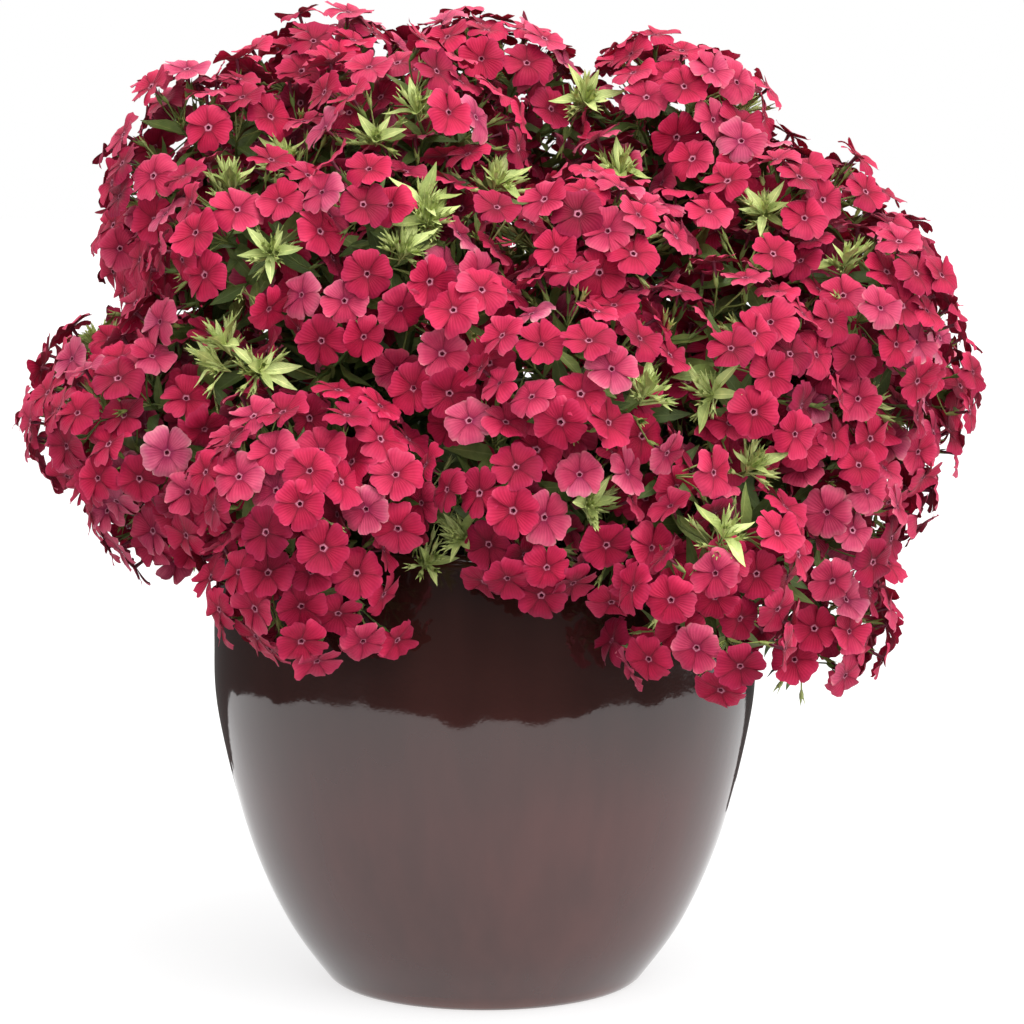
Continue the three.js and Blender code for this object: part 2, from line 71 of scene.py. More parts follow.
CAD = {
    "weld": 0.01,  # vertices closer than this are one
    "throat_faces": 12,  # only the throat of a CAD floret has this many faces round it
    "throat_depth": 4.5,
    "foot_slice": 1,  # how far up a stem counts as its foot
}
BUNCH = {
    "radius": 31,  # from the bunch's middle to the faces of its florets
    "rings": ((0.0, 1), (0.68, 5), (1.12, 9)),  # lean in radians and count of each ring
    "uneven": 0.2,
    "depths": (0.9, 1.06),
    "lift": (-2, 7),  # range of its top over the CAD floret
    "face_out": 0.5,  # how far its florets turn to look the way the whole bunch does
    "face_up": 0.3,
    "face_stray": 0.28,
    "apart": 16.9,  # least distance between middles of florets
    "off_pot": 13,  # and least distance from the pot
    "past_box": (7, 7, -4),  # how far a floret's middle may be outside the CAD model's box
    "hem": 178,  # height of the lowest florets
    "lowest_look": -0.75,  # no floret looks further down than this
}
FILL = {  # bunches added between CAD heads
    "spans": (52, 96),  # how far apart the two bunches are that one is put between
    "clear": 31,  # of every other bunch
    "rise": -12,  # over the line between the two
}
FLORET = {
    "petals": 5,
    "variants": 12,
    "length": 13.2,  # from its middle to a petal's end
    "start": 1.0,  # of a petal, from there
    "stations": (0, 0.12, 0.3, 0.5, 0.7, 0.85, 0.95, 1),
    "half_widths": (0.8, 1.9, 3.9, 5.4, 6.4, 6.8, 6.5, 5.7),
    "widths": (0.93, 1.05),  # range of a petal's width beside those
    "lengths": (0.92, 1.04),
    "rows": 7,
    "columns": 5,
    "corner": 0.09,  # how far the corners of a petal's end are rounded back
    "corner_power": 3,  # a higher one keeps more of the end straight
    "notch": 0.9,
    "notch_width": 0.3,
    "notch_power": 8,  # a higher one keeps the notch closer to the end
    "cup": 2.2,
    "droop": (-0.6, 5.0),
    "crease": 1.0,
    "overlap": 1.1,  # one edge of a petal lies this far over its neighbour's
    "twist": 2.0,
    "ruffle": 0.8,
    "ruffle_waves": 1.2,
    "tone": 0.12,  # how much petals of one floret differ
    "tube": ((1.25, 0.15), (1.0, -2.5), (0.75, -9.5)),  # radius and height down the tube
    "tube_sides": 5,
    "eye": ((1.05, 0.1), (0.7, -1.2), (0.15, -2.2)),
    "eye_sides": 7,
    "scale": (0.93, 1.08),
    "tone_bias": (1.8, 2.2),  # of the beta distribution from deep to pale florets
}
CALYX = {
    "top": -8.5,
    "bottom": -13.5,
    "radius": 1.3,
    "tones": (0.3, 0.6),
    "sepals": 5,
    "sepal_width": 1.2,
    "flare": 1.0,
    "tip": 3.4,
    "tip_width": 0.16,
}
SPENT = {  # calyxes that have dropped their florets
    "count": 2,
    "lean": 1.0,
    "reach": (15, 21),
    "tones": (0.5, 0.95),
}
LEAF = {
    "stations": (0, 0.06, 0.25, 0.45, 0.7, 0.9, 1),
    "half_widths": (0.12, 0.3, 0.82, 1.0, 0.72, 0.24, 0.03),
    "rows": 7,
    "columns": 3,
    "fold": 0.3,
    "droops": (0.02, 0.3),
    "waves": (0.2, 0.8),
    "wave_turn": 5,  # radians of its edge's wave over its length
    "variants": 8,
    "width": 0.3,  # of the length
}
STEM = {
    "sides": 8,
    "steps": 14,
    "foot_radius": 3.4,
    "fork_radius": 2.4,
    "branch_radii": (1.9, 1.3),
    "twig_radii": (1.1, 0.7),
    "twig_sides": 5,
    "stalk_radii": (0.45, 0.55),
    "stalk_sides": 3,
    "tone": 0.3,
    "rise": 67,  # from a trunk's foot up to the first handle of its curve
    "spring": 40,  # and from there to the second
    "fork_ring": 66,
    "fork_height": 292,
    "forks": (0.45, 0.97),  # where along a trunk its branches start
    "hub_depth": 30,  # a branch ends this far under its bunches
    "branch_bends": (0.35, 0.4),  # how firmly it leaves and arrives, in shares of its span
    "twig_bends": (0.4, 8),  # a share of its span as it leaves, a length as it arrives
    "twig_steps": 6,
    "stalk_bends": (0.4, 3),  # the same
    "stalk_steps": 4,
}
STEM_LEAVES = {
    "step": 11,  # between two pairs
    "place": (0.2, 0.8),  # of a pair in its own stretch of the stem
    "lean": (0.3, 0.9),  # forward along the stem
    "stray": 0.15,
    "tone": 0.15,  # how much leaves of one stem differ
    # The leafy part of each kind of stem in shares of it, its leaves' lengths and their tone, which
    # is painted shade: lower for stems that lie deeper inside the mound.
    "trunk": ((0.5, 1.0), (32, 54), 0.25),
    "branch": ((0.25, 0.97), (32, 54), 0.3),
    "twig": ((0.2, 1.0), (19, 33), 0.35),
}
SPRIG = {
    "calyxes": (13, 24),
    "calyx_lean": 1.3,
    "stalk": (2, 13),
    "spread": 7,  # along the twig's end, of the feet of its stalks
    "leaves": (3, 7),
    "leaf_leans": (0.4, 1.4),
    "leaf_lengths": (13, 25),
    "bend": 0.3,  # how firmly its twig leaves and arrives, in shares of its span
    "steps": 5,
    "clear": 21.5,  # no floret is closer than this
    "depth": 16,  # of its foot under the flowers
    "lowest": -0.2,  # how far down it may look
    "upright": 0.6,
    # pale: fresh young growth, raised further as painted light on tufts at the mound's surface
    "tones": (0.62, 1.0),
}
# Where leafy sprigs show between the flowers in the photo, in its pixels.
PHOTO_SIDE = 1024
PHOTO_SPRIGS = (
    (233, 161), (268, 143), (375, 145), (410, 90), (429, 184), (440, 215),
    (418, 240), (510, 168), (592, 94), (622, 150), (757, 215), (852, 246),
    (266, 262), (201, 328), (190, 369), (271, 381), (665, 376), (696, 405),
    (764, 465), (892, 410), (735, 527), (445, 544), (600, 515), (438, 574),
)
BACK_SPRIGS = {
    "count": 24,  # all round the mound, before those at the front are left out
    "heights": (0.1, 0.9),  # 0 is level with the mound's middle and 1 is its top
    "front": -0.1,  # how far round to the front they go
    "start": 1000,  # from the mound's middle, of the rays that find them
}

POT = {
    "segments": 96,
    "smooth_steps": 8,
    "outline": (  # radius and height up the outside
        (86.5, 0), (111, 35), (132, 84), (148, 150),
        (150, 190), (148.5, 220), (143.5, 247),
    ),
    "height": 255,
    "wall": 10,
    "floor": 12,
    "lip_steps": 14,
    "foot": 1.5,  # rounding of the edge that it stands on
    "widest": 150,
    "drain_radius": 7,
    "drain_ring": 48,
    "drains": 3,
    "drain_sides": 32,
}

CAMERA = {
    "place": (15, -2000, 506),
    "pitch": 7.0,  # degrees down
    "lens": 128,
    "sensor": 36,
    "far": 100,  # metres that it sees
}
STUDIO = {
    "floor": 10000,
    "floor_colour": 0.3,
    "floor_glow": 0.7,
    "dome": 20000,
    "dome_cap": 1,  # radius of the rings that close it
    "dome_steps": 16,
    "roughness": 0.9,
    "sky": ((0, 0.6), (0.49, 0.65), (0.55, 0.95), (0.8, 1.3)),  # light from below to above
    "card_colour": (0.012, 0.01, 0.009),
    "card_glow": 0.08,
    # How far the bright part of the floor reaches, by bearing in degrees from the front.
    "bright": (
        (-180, 480), (-143, 480), (-128, 880), (-85, 980), (-52, 1080),
        (-24, 900), (-6, 745), (18, 800), (50, 980), (70, 1060),
        (110, 1300), (128, 1300), (143, 480), (180, 480),
    ),
    "ripples": ((9, 1.9, 42), (14, 4.0, 36), (23, 0.8, 24), (37, 2.6, 14)),  # count, phase, size
    "card_steps": 360,
    "card_ring": 1700,
    "card_lift": 1,  # over the floor
    "card_top": 1100,
}
SUNS = {  # direction, strength and spread in degrees
    "key": ((0.45, -0.65, 1.4), 1.75, 60),
    "fill": ((0.95, -0.7, 0.6), 1.5, 100),
}

# -------- colours, all linear, and looks

WHITE = (1.0, 1.0, 1.0)
BLACK = (0.0, 0.0, 0.0)

PETAL_BODY = (  # from the eye to the rim
    (0.1, (0.24, 0.002, 0.024)),
    (0.3, (0.4, 0.006, 0.04)),
    (0.7, (0.53, 0.012, 0.064)),
    (1.0, (0.58, 0.022, 0.088)),
)
PETAL_TONES = (  # times the body, from the deepest floret to the palest
    (0.0, (0.5, 0.4, 0.55)),
    (0.45, WHITE),
    (0.72, (1.02, 2.8, 1.55)),
    (1.0, (1.04, 7.0, 2.7)),
)
PETAL_BLOTCHES = ((0.3, (0.85, 0.65, 0.8)), (0.7, (1.08, 1.4, 1.15)))
PETAL_VEINS = ((0.0, (0.62, 0.42, 0.62)), (0.6, (1.05, 1.1, 1.05)))
PETAL_RIM = ((0.38, WHITE), (0.5, (1.08, 2.2, 1.45)))  # the sides, out at the rim
PETAL_SEAM_SHADE = ((0.34, WHITE), (0.5, (0.55, 0.4, 0.5)))  # the sides, close to the eye, darkened as painted shade where the petals part
PETAL_EYE = (0.6, 0.2, 0.29)
PETAL_OUTER = ((0.5, BLACK), (0.85, WHITE))  # from where the painted shade of the seams shows to where the rim does
PETAL_INNER = ((0.08, WHITE), (0.15, BLACK))  # the eye
PETAL = {
    "blotches": (170, 1),  # scale and detail of the noise
    "blotch_share": 0.8,
    "vein_waves": 50.0,  # radians of them across a petal
    "vein_height": 0.5,
    "vein_fade": 0.3,  # of that height, out to the rim
    "vein_share": 0.35,
    "relief": (0.35, 0.0005),  # strength, and distance in metres
    "ragged": 0.16,  # how uneven the edge of the eye is
    "roughness": 0.6,
    "specular": 0.16,
    "sheen": 0.17,
    "sheen_roughness": 0.4,
    "sheen_tint": (1.0, 0.5, 0.62),
}
THROAT_BODY = ((0.3, (0.1, 0.004, 0.02)), (0.7, (0.25, 0.02, 0.06)))
THROAT = {"spots": 500, "roughness": 0.6}

GREENS_AND_PAINTED_SHADE = (  # from leaves deep inside, darkened as painted shade, to the palest calyxes and sprigs at the surface, lightened partly as painted light
    (0.0, (0.04, 0.065, 0.02)),
    (0.35, (0.12, 0.18, 0.045)),
    (0.6, (0.32, 0.39, 0.11)),
    (1.0, (0.66, 0.74, 0.3)),
)
LEAF_RIB = ((0.0, (1.5, 1.4, 1.6)), (0.06, WHITE), (0.5, (0.9, 0.92, 0.9)))
LEAF_MOTTLE = ((0.3, (0.75, 0.8, 0.7)), (0.7, (1.2, 1.15, 1.1)))
GREEN = {
    "mottle": 220,
    "mottle_share": 0.8,
    "vein_waves": 70.0,  # radians of them along a leaf
    "vein_slant": 30.0,  # and from its rib to its sides
    "vein_height": 0.3,
    "relief": (0.3, 0.0004),
    "roughness": 0.5,
    "specular": 0.35,
}

GLAZE_BODY_AND_SHADE = (  # from the foot to the lip: red-brown where the glaze thins at foot and lip, and darker from 0.7 of the height up as painted shade under the overhanging flowers
    (0.0, (0.15, 0.034, 0.02)),
    (0.012, (0.115, 0.026, 0.017)),
    (0.035, (0.075, 0.017, 0.014)),
    (0.45, (0.07, 0.016, 0.014)),
    (0.7, (0.038, 0.011, 0.009)),
    (0.96, (0.032, 0.01, 0.008)),
    (1.0, (0.08, 0.022, 0.015)),
)
GLAZE_CLOUDS = ((0.3, (0.86, 0.86, 0.86)), (0.75, (1.14, 1.14, 1.14)))
GLAZE_STREAKS = ((0.3, (0.88, 0.86, 0.86)), (0.7, (1.1, 1.12, 1.12)))
GLAZE_SHINE = ((0.3, (0.05, 0.05, 0.05)), (0.8, (0.1, 0.1, 0.1)))
CLAY = (0.36, 0.14, 0.075)
GLAZE = {
    "wobble": (30, 0.006),  # scale of the noise that bends the bands of colour, and its metres
    "clouds": (9, 4),  # scale and detail
    "streaks": (60.0, 60.0, 7.0),  # scale across and down the pot
    "shine": 40,
    "waves": (14, 1),
    "ripples": (350, 0.03),  # scale and height beside the waves
    "relief": (0.25, 0.004),
    "ior": 1.7,
    "under": -0.95,  # faces that look down more than this are bare clay
    "clay_roughness": (0.9, 0.9, 0.9),
}

SOIL_BODY = (
    (0.3, (0.012, 0.008, 0.006)),
    (0.55, (0.05, 0.03, 0.02)),
    (0.75, (0.11, 0.07, 0.045)),
)
SOIL_GRAINS = ((0.1, WHITE), (0.16, BLACK))
PERLITE = (0.6, 0.58, 0.52)
SOIL = {
    "crumbs": (180, 6),  # scale and detail
    "grains": 130,
    "relief": (1.0, 0.004),
    "roughness": 0.95,
}

rng = np.random.default_rng(SEED)


# -------- surfaces


class Surface:
    """Points with a place on their pattern, quads with a material, ready to be stacked."""

    def __init__(self, points, quads, uvs, material=0, tone=0.0):
        self.points = np.asarray(points, float).reshape(-1, 3)
        self.quads = np.asarray(quads, int).reshape(-1, 4)
        self.uvs = np.asarray(uvs, float).reshape(-1, 2)
        self.materials = np.broadcast_to(material, len(self.quads)).copy()
        self.tones = np.broadcast_to(tone, len(self.points)).copy()

    def placed(self, axes, origin, scale=1.0, tone=0.0):
        """A copy with its X, Y and Z along the three rows of axes, its tone raised."""
        points = (self.points * scale) @ np.asarray(axes) + origin
        return Surface(points, self.quads, self.uvs, self.materials, self.tones + tone)


def stacked(surfaces):
    """Several surfaces as one."""
    starts = np.cumsum([0] + [len(s.points) for s in surfaces[:-1]])
    return Surface(
        np.concatenate([s.points for s in surfaces]),
        np.concatenate([s.quads + start for s, start in zip(surfaces, starts)]),
        np.concatenate([s.uvs for s in surfaces]),
        np.concatenate([s.materials for s in surfaces]),
        np.concatenate([s.tones for s in surfaces]),
    )


def grid(points, material=0, closed=False):
    """A surface through rows of points. A closed one joins its last column to its first."""
    rows, columns = points.shape[:2]
    spans = columns if closed else columns - 1
    row, column = np.meshgrid(np.arange(rows - 1), np.arange(spans), indexing="ij")
    beside = (column + 1) % columns
    corners = (
        row * columns + column,
        row * columns + beside,
        (row + 1) * columns + beside,
        (row + 1) * columns + column,
    )
    along, across = np.meshgrid(np.linspace(0, 1, rows), np.linspace(0, 1, columns), indexing="ij")
    return Surface(points, np.stack(corners, axis=-1), np.stack([across, along], axis=-1), material)


def unit(vector):
    return vector / np.linalg.norm(vector)


def axes_about(direction, turn=0.0):
    """Three unit rows: two across a direction, turned by an angle, and the direction."""
    helper = UP if abs(direction[2]) < NEARLY_UPRIGHT else RIGHT
    u = unit(np.cross(helper, direction))
    v = np.cross(direction, u)
    c, s = math.cos(turn), math.sin(turn)
    return np.array([c * u + s * v, c * v - s * u, direction])


def leaned(axis, lean, turn):
    """A direction that leans away from an axis by one angle, turned about it by another."""
    return math.cos(lean) * axis + math.sin(lean) * axes_about(axis, turn)[0]


def circle(radius, sides):
    angles = np.linspace(0, 2 * math.pi, sides, endpoint=False)
    return np.stack([radius * np.cos(angles), radius * np.sin(angles)], axis=-1)


def revolved(profile, sides, material=0):
    """A surface turned about Z from (radius, height) pairs."""
    rings = [np.column_stack([circle(r, sides), np.full(sides, float(z))]) for r, z in profile]
    return grid(np.array(rings), material, closed=True)


def tube(path, radii, sides, tone=STEM["tone"]):
    """A tapered tube along a path of points."""
    path = np.asarray(path, float)
    widths = np.linspace(radii[0], radii[1], len(path))
    tangents = np.gradient(path, axis=0)
    side = axes_about(unit(tangents[0]))[0]
    rings = []
    for point, tangent, width in zip(path, tangents, widths):
        tangent = unit(tangent)
        side = unit(side - (side @ tangent) * tangent)
        other = np.cross(tangent, side)
        rings.append(point + circle(width, sides) @ np.array([side, other]))
    surface = grid(np.array(rings), closed=True)
    surface.tones[:] = tone
    return surface


def bezier(a, b, c, d, steps):
    t = np.linspace(0, 1, steps)[:, None]
    return a * (1 - t) ** 3 + 3 * b * t * (1 - t) ** 2 + 3 * c * t**2 * (1 - t) + d * t**3


def object_of(name, surface, materials):
    """A Blender object from a surface: a map 'pattern' and a value 'tone' go with it."""
    mesh = bpy.data.meshes.new(name)
    mesh.from_pydata(surface.points * MM, [], surface.quads)
    for material in materials:
        mesh.materials.append(material)
    mesh.polygons.foreach_set("material_index", surface.materials.astype(np.int32))
    mesh.shade_smooth()
    pattern = mesh.uv_layers.new(name="pattern")
    pattern.data.foreach_set("uv", surface.uvs[surface.quads.ravel()].ravel())
    tone = mesh.attributes.new("tone", "FLOAT", "POINT")
    tone.data.foreach_set("value", surface.tones.astype(np.float32))
    mesh.update()
    piece = bpy.data.objects.new(name, mesh)
    bpy.context.scene.collection.objects.link(piece)
    return piece


def dress(piece, node):
    """Puts a piece on the plant in place of a CAD node."""
    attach(piece, "root")
    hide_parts(node)


# -------- reading the CAD frame


def nodes_called(start):
    return sorted(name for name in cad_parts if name.startswith(start))


def welded(node):
    """Points and triangles of a CAD node, in millimetres, with shared corners made one."""
    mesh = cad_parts[node].data
    mesh.calc_loop_triangles()
    points = np.empty(len(mesh.vertices) * 3)
    mesh.vertices.foreach_get("co", points)
    points = points.reshape(-1, 3) / MM
    corners = np.empty(len(mesh.loop_triangles) * 3, dtype=np.int32)
    mesh.loop_triangles.foreach_get("vertices", corners)
    keys = np.round(points / CAD["weld"]).astype(int)
    _, first, inverse = np.unique(keys, axis=0, return_index=True, return_inverse=True)
    return points[first], inverse.ravel()[corners].reshape(-1, 3)


def bunch_places(node):
    """Middle and outward direction of each floret of a CAD flower head."""
    points, triangles = welded(node)
    counts = np.bincount(triangles.ravel())
    places = []
    for throat in np.flatnonzero(counts >= CAD["throat_faces"]):
        fan = points[triangles[(triangles == throat).any(axis=1)]]
        out = unit(np.cross(fan[:, 1] - fan[:, 0], fan[:, 2] - fan[:, 0]).sum(axis=0))
        if out @ (points[throat] - MOUND_MIDDLE) > 0:
            places.append((points[throat] + CAD["throat_depth"] * out, out))
    return places


def foot_of(node):
    """Where a CAD stem stands: the middle of its lowest points."""
    points, _ = welded(node)
    lowest = points[points[:, 2] < points[:, 2].min() + CAD["foot_slice"]]
    return lowest.mean(axis=0)


# -------- bunches of florets


class Bunch:
    """A dome of florets about its middle."""

    def __init__(self, head, place, out):
        self.head = head
        self.out = out
        self.middle = place + out * (rng.uniform(*BUNCH["lift"]) - BUNCH["radius"])
        self.florets = []  # the place of each and the way it faces

    def candidates(self):
        """Rank, place and direction of each floret it may carry: the middle one first."""
        spin = rng.uniform(0, 2 * math.pi)
        found = []
        for rank, (lean, count) in enumerate(BUNCH["rings"]):
            for k in range(count):
                tilt = lean + rng.uniform(-1, 1) * BUNCH["uneven"]
                turn = spin + 2 * math.pi * (k + rng.uniform(-1, 1) * BUNCH["uneven"]) / count
                direction = leaned(self.out, tilt, turn)
                reach = BUNCH["radius"] * rng.uniform(*BUNCH["depths"])
                found.append((rank, self.middle + reach * direction, direction))
        return found


def bunches_between(bunches):
    """Further bunches in the wide grooves between the CAD heads."""
    added = []
    for i, a in enumerate(bunches):
        for b in bunches[i + 1 :]:
            span = np.linalg.norm(a.middle - b.middle)
            if a.head == b.head or not FILL["spans"][0] < span < FILL["spans"][1]:
                continue
            middle = (a.middle + b.middle) / 2
            others = np.array([c.middle for c in [*bunches, *added]])
            if np.linalg.norm(others - middle, axis=1).min() < FILL["clear"]:
                continue
            out = unit(a.out + b.out)
            added.append(Bunch(a.head, middle + (BUNCH["radius"] + FILL["rise"]) * out, out))
    return added


def has_room(place):
    """True inside the CAD model's box and clear of the pot."""
    low, high = (np.array(corner) / MM for corner in cad_box)
    past = np.array(BUNCH["past_box"])
    if place[2] < BUNCH["hem"] or (place < low - past).any() or (place > high + past).any():
        return False
    above = place[2] > POT["height"] + BUNCH["off_pot"]
    return above or math.hypot(place[0], place[1]) > POT["widest"] + BUNCH["off_pot"]


def fill_bunches(bunches, clearings):
    """Gives each bunch its florets, wherever there is room on the mound."""
    spots = [(bunch, *spot) for bunch in bunches for spot in bunch.candidates()]
    spots.sort(key=lambda spot: spot[1])
    taken = np.empty((0, 3))
    for bunch, _, place, direction in spots:
        if not has_room(place):
            continue
        if (np.linalg.norm(clearings - place, axis=1) < SPRIG["clear"]).any():
            continue
        if (np.linalg.norm(taken - place, axis=1) < BUNCH["apart"]).any():
            continue
        taken = np.vstack([taken, place])
        stray = BUNCH["face_stray"] * rng.normal(size=3)
        facing = unit(direction + BUNCH["face_out"] * bunch.out + BUNCH["face_up"] * UP + stray)
        if facing[2] > BUNCH["lowest_look"]:
            bunch.florets.append((place, facing))


# -------- florets


def petal_height(t, s, half):
    """Height of a petal over its floret's plane, by shares of its length and half width."""
    cupped = FLORET["cup"] * np.sin(math.pi / 2 * t) - rng.uniform(*FLORET["droop"]) * t**3
    creased = FLORET["crease"] * (1 - np.abs(s)) ** 2 * np.sin(math.pi * t)
    tilt = FLORET["overlap"] + rng.uniform(-1, 1) * FLORET["twist"]
    tilted = tilt * s * t * half / max(FLORET["half_widths"])
    phase = rng.uniform(0, 2 * math.pi)
    ruffled = FLORET["ruffle"] * np.sin(2 * math.pi * FLORET["ruffle_waves"] * s + phase) * t**2
    return cupped - creased + tilted + ruffled


def petal():
    """One broad petal along +X, from its narrow base at the eye to its blunt, notched end."""
    t = np.linspace(0, 1, FLORET["rows"])[:, None]
    s = np.linspace(-1, 1, FLORET["columns"])[None, :]
    half = np.interp(t, FLORET["stations"], FLORET["half_widths"])
    half = half * rng.uniform(*FLORET["widths"])
    reach = FLORET["length"] * rng.uniform(*FLORET["lengths"]) - FLORET["start"]
    corner = FLORET["corner"] * np.abs(s) ** FLORET["corner_power"]
    notch = FLORET["notch"] * np.exp(-((s / FLORET["notch_width"]) ** 2))
    x = FLORET["start"] + reach * t * (1 - corner * t) - notch * t ** FLORET["notch_power"]
    shape = grid(np.stack([x, half * s, petal_height(t, s, half)], axis=-1))
    shape.tones[:] = rng.uniform(-1, 1) * FLORET["tone"]
    return shape


def floret():
    """Five petals round an eye, on a slender tube. Its face looks along +Z."""
    turns = [2 * math.pi * k / FLORET["petals"] for k in range(FLORET["petals"])]
    petals = [petal().placed(axes_about(UP, turn), np.zeros(3)) for turn in turns]
    eye = revolved(FLORET["eye"], FLORET["eye_sides"], material=1)
    neck = revolved(FLORET["tube"], FLORET["tube_sides"], material=1)
    return stacked([*petals, eye, neck])


def make_blooms(node, bunches, shapes, materials):
    """All the florets that take the place of one CAD flower head."""
    parts = []
    for place, facing in (spot for bunch in bunches for spot in bunch.florets):
        shape = shapes[rng.integers(len(shapes))]
        axes = axes_about(facing, rng.uniform(0, 2 * math.pi))
        size = rng.uniform(*FLORET["scale"])
        parts.append(shape.placed(axes, place, size, rng.beta(*FLORET["tone_bias"])))
    piece = object_of(node.replace("flower_head", "blooms"), stacked(parts), materials)
    dress(piece, node)


# -------- calyxes and leaves


def calyx():
    """A green cup of five pointed sepals round the tube of a floret."""
    low, high, radius = CALYX["bottom"], CALYX["top"], CALYX["radius"]
    cup = revolved(((radius / 2, low), (radius, (low + high) / 2), (radius, high)), CALYX["sepals"])
    sepals = []
    for k in range(CALYX["sepals"]):
        out, side, _ = axes_about(UP, 2 * math.pi * k / CALYX["sepals"])
        base = out * radius + UP * high
        tip = base + out * CALYX["flare"] + UP * CALYX["tip"]
        wide, narrow = side * CALYX["sepal_width"] / 2, side * CALYX["tip_width"] / 2
        sepals.append(grid(np.array([[base - wide, base + wide], [tip - narrow, tip + narrow]])))
    return stacked([cup, *sepals])


def leaf():
    """A lance-shaped leaf of length 1 along +X, folded at its midrib, its tip bent down."""
    t = np.linspace(0, 1, LEAF["rows"])[:, None]
    s = np.linspace(-1, 1, LEAF["columns"])[None, :]
    half = np.interp(t, LEAF["stations"], LEAF["half_widths"]) * LEAF["width"] / 2
    droop, wave = rng.uniform(*LEAF["droops"]), rng.uniform(*LEAF["waves"])
    waved = wave * np.sin(LEAF["wave_turn"] * t) * s**2 * half
    z = LEAF["fold"] * half * np.abs(s) - droop * t**2 + waved
    return grid(np.stack([t + 0 * s, half * s, z], axis=-1))


CALYX_SHAPE = calyx()
LEAVES = [leaf() for _ in range(LEAF["variants"])]


def leaf_at(place, along, up, length, tone):
    """A leaf that grows from a place along a direction, its face turned up."""
    side = unit(np.cross(up, along))
    axes = np.array([along, side, np.cross(along, side)])
    return LEAVES[rng.integers(len(LEAVES))].placed(axes, place, length, tone)


def leaf_pairs(path, kind):
    """Opposite leaves along part of a stem, each pair a quarter turn from the one before."""
    (first, last), lengths, tone = STEM_LEAVES[kind]
    span = (last - first) * np.linalg.norm(np.diff(path, axis=0), axis=1).sum()
    count = max(1, int(span / STEM_LEAVES["step"]))
    start = rng.uniform(0, 2 * math.pi)
    leaves = []
    for k in range(count):
        share = first + (last - first) * (k + rng.uniform(*STEM_LEAVES["place"])) / count
        steps = share * (len(path) - 1)
        index = min(int(steps), len(path) - 2)
        step = path[index + 1] - path[index]
        place = path[index] + (steps - index) * step
        tangent = unit(step)
        for turn in (0, math.pi):
            side = axes_about(tangent, start + k * math.pi / 2 + turn)[0]
            lean = rng.uniform(*STEM_LEAVES["lean"])
            along = unit(side + lean * tangent + STEM_LEAVES["stray"] * rng.normal(size=3))
            shade = tone + rng.uniform(-STEM_LEAVES["tone"], STEM_LEAVES["tone"])
            leaves.append(leaf_at(place, along, tangent, rng.uniform(*lengths), shade))
    return leaves


def calyx_on_stalk(place, along, reach, tone):
    """A calyx that has dropped its floret, at the end of a straight stalk."""
    end = place + reach * along
    stalk = tube([place, end], STEM["stalk_radii"], STEM["stalk_sides"], tone)
    cup = CALYX_SHAPE.placed(axes_about(along), end - CALYX["bottom"] * along, tone=tone)
    return stacked([stalk, cup])


# -------- sprigs


def sprig(root, foot, out):
    """A loose tuft of calyxes and pale leaves, on a twig from a bunch's middle to its foot."""
    up = unit(out + SPRIG["upright"] * UP)
    bend = SPRIG["bend"] * np.linalg.norm(foot - root)
    path = bezier(root, root + bend * out, foot - bend * up, foot, SPRIG["steps"])
    pieces = [tube(path, STEM["twig_radii"], STEM["twig_sides"])]
    for _ in range(rng.integers(*SPRIG["calyxes"])):
        along = leaned(up, SPRIG["calyx_lean"] * rng.uniform(), rng.uniform(0, 2 * math.pi))
        start = foot - rng.uniform(0, SPRIG["spread"]) * up
        reach = rng.uniform(*SPRIG["stalk"])
        pieces.append(calyx_on_stalk(start, along, reach, rng.uniform(*SPRIG["tones"])))
    for k in range(rng.integers(*SPRIG["leaves"])):
        along = leaned(up, rng.uniform(*SPRIG["leaf_leans"]), k * GOLDEN_ANGLE)
        length = rng.uniform(*SPRIG["leaf_lengths"])
        pieces.append(leaf_at(foot, along, up, length, rng.uniform(*SPRIG["tones"])))
    return stacked(pieces)


def sight_line(across, down):
    """The direction from the camera through a spot of its picture, given by shares of it."""
    pitch = math.radians(CAMERA["pitch"])
    ahead = np.array([0.0, math.cos(pitch), -math.sin(pitch)])
    above = np.array([0.0, math.sin(pitch), math.cos(pitch)])
    width = CAMERA["sensor"] / CAMERA["lens"]
    return unit(ahead + width * ((across - 0.5) * RIGHT + (0.5 - down) * above))


def first_met(start, ray, middles):
    """Where a ray first meets the dome of a bunch and the number of that bunch, or None."""
    arms = middles - start
    along = arms @ ray
    off = np.linalg.norm(arms - along[:, None] * ray, axis=1)
    if off.min() > BUNCH["radius"]:
        return None
    depth = np.sqrt(np.maximum(BUNCH["radius"] ** 2 - off**2, 0))
    entry = np.where(depth > 0, along - depth, np.inf)
    nearest = int(np.argmin(entry))
    return start + entry[nearest] * ray, nearest


def sprig_rays():
    """Start and direction of a ray to each sprig: from the camera, or in from the other sides."""
    for across, down in PHOTO_SPRIGS:
        ray = sight_line(across / PHOTO_SIDE, down / PHOTO_SIDE)
        yield np.array(CAMERA["place"], float), ray
    low, high = BACK_SPRIGS["heights"]
    for k in range(BACK_SPRIGS["count"]):
        share = (k + 0.5) / BACK_SPRIGS["count"]
        height = low + (high - low) * share
        out = leaned(UP, math.acos(height), k * GOLDEN_ANGLE)
        if out[1] > BACK_SPRIGS["front"] * math.hypot(out[0], out[1]):
            yield MOUND_MIDDLE + BACK_SPRIGS["start"] * out, -out


def sprig_spots(bunches):
    """Place, outward direction and own bunch of each sprig."""
    middles = np.array([bunch.middle for bunch in bunches])
    spots = []
    for start, ray in sprig_rays():
        met = first_met(start, ray, middles)
        if met is None:
            continue
        place, index = met
        out = unit(place - middles[index])
        out[2] = max(out[2], SPRIG["lowest"])
        spots.append((place, unit(out), bunches[index]))
    return spots


# -------- stems


